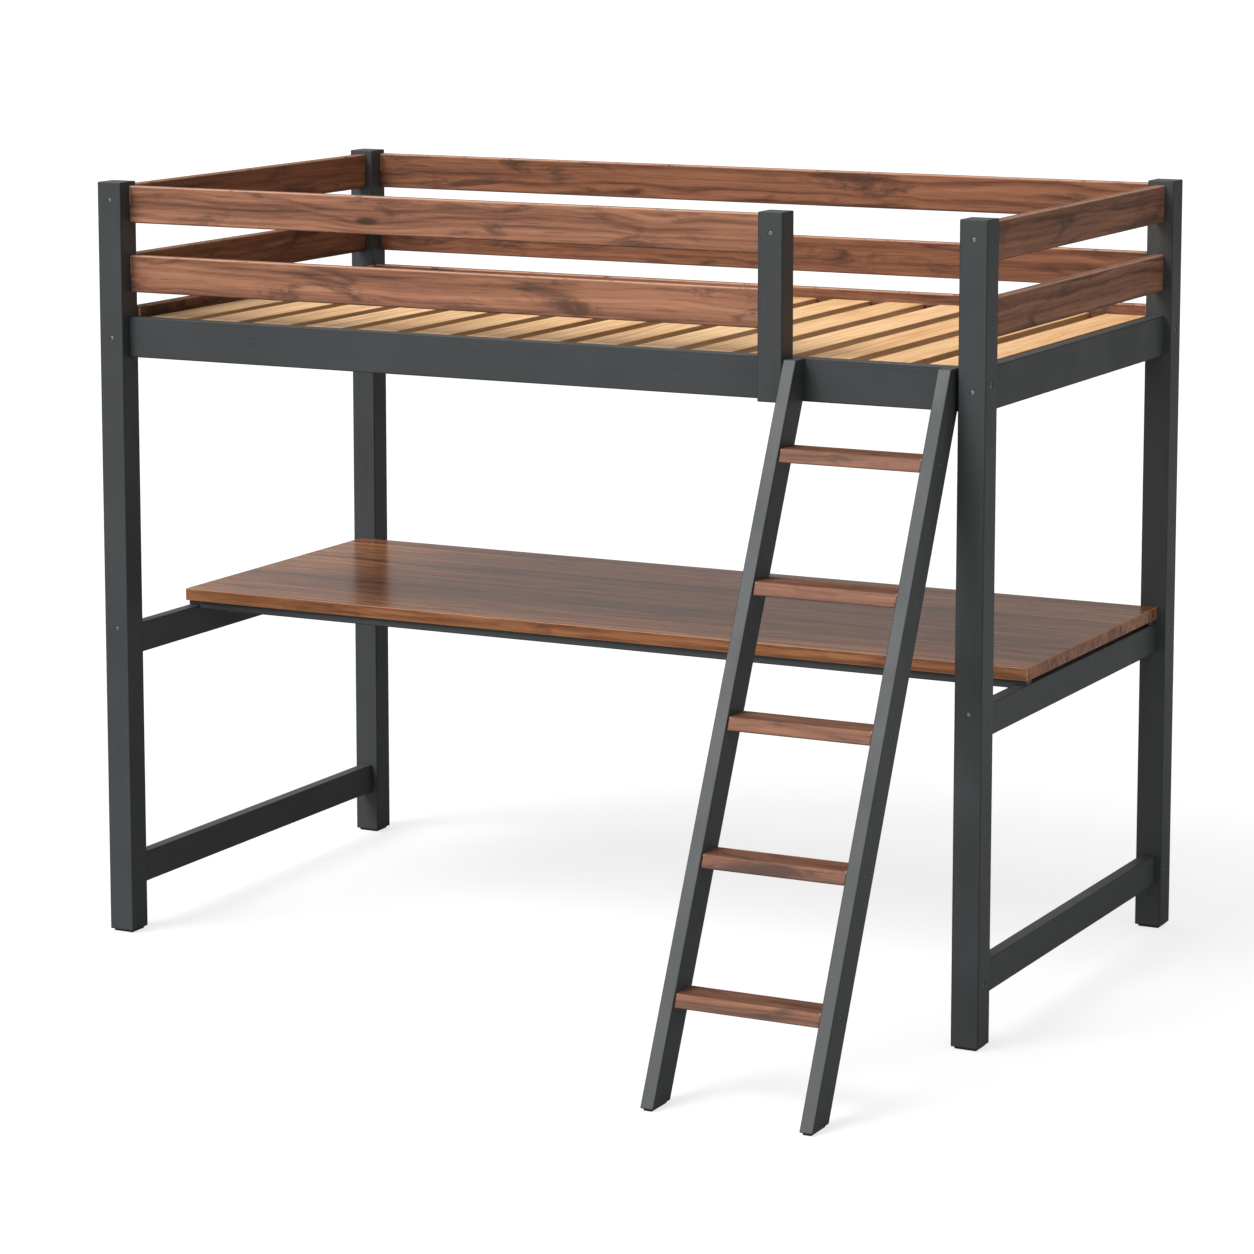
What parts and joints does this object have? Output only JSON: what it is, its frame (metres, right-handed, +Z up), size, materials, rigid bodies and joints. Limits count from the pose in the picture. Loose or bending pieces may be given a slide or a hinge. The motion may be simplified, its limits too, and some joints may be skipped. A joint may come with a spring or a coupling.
{
  "type": "loft bed with desk",
  "caption": "Post-and-rail loft bed with guard boards, a slatted base, a full-width desk top below and a fixed sloping ladder.",
  "frame": {"origin": "middle of the footprint on the floor, ladder included", "axes": "+X along the bed towards the ladder end, -Y towards the ladder and the sitter's side, +Z up"},
  "size_m": [2.06, 1.765, 1.655],
  "materials": {
    "charcoal_paint": "satin charcoal paint on solid timber, edges slightly worn",
    "walnut": "oiled walnut boards with dark streaks and small knots",
    "desk_walnut": "lacquered walnut staves, semi-gloss",
    "slat_wood": "unfinished pale pine",
    "glide_plastic": "black moulded plastic",
    "bolt_steel": "black-zinc steel"
  },
  "bodies": {
    "root": {"desk_front_batten": "charcoal_paint", "desk_rear_batten": "charcoal_paint", "desk_top": "desk_walnut", "front_left_glide": "glide_plastic", "front_left_post": "charcoal_paint", "front_lower_guard": "walnut", "front_right_glide": "glide_plastic", "front_right_post": "charcoal_paint", "front_side_rail": "charcoal_paint", "front_slat_cleat": "slat_wood", "front_upper_guard": "walnut", "ladder_guard_post": "charcoal_paint", "ladder_tread_1": "walnut", "ladder_tread_2": "walnut", "ladder_tread_3": "walnut", "ladder_tread_4": "walnut", "ladder_tread_5": "walnut", "left_desk_rail": "charcoal_paint", "left_end_rail": "charcoal_paint", "left_ladder_bolt": "bolt_steel", "left_ladder_glide": "glide_plastic", "left_ladder_stringer": "charcoal_paint", "left_low_board": "walnut", "left_low_stretcher": "charcoal_paint", "left_lower_guard": "walnut", "left_upper_guard": "walnut", "rear_left_glide": "glide_plastic", "rear_left_post": "charcoal_paint", "rear_low_board": "walnut", "rear_lower_guard": "walnut", "rear_right_glide": "glide_plastic", "rear_right_post": "charcoal_paint", "rear_side_rail": "charcoal_paint", "rear_slat_cleat": "slat_wood", "rear_upper_guard": "walnut", "right_desk_rail": "charcoal_paint", "right_end_rail": "charcoal_paint", "right_ladder_bolt": "bolt_steel", "right_ladder_glide": "glide_plastic", "right_ladder_stringer": "charcoal_paint", "right_low_stretcher": "charcoal_paint", "right_lower_guard": "walnut", "right_upper_guard": "walnut", "slat_01": "slat_wood", "slat_02": "slat_wood", "slat_03": "slat_wood", "slat_04": "slat_wood", "slat_05": "slat_wood", "slat_06": "slat_wood", "slat_07": "slat_wood", "slat_08": "slat_wood", "slat_09": "slat_wood", "slat_10": "slat_wood", "slat_11": "slat_wood", "slat_12": "slat_wood", "slat_13": "slat_wood", "slat_14": "slat_wood", "slat_15": "slat_wood"}
  },
  "joints": []
}
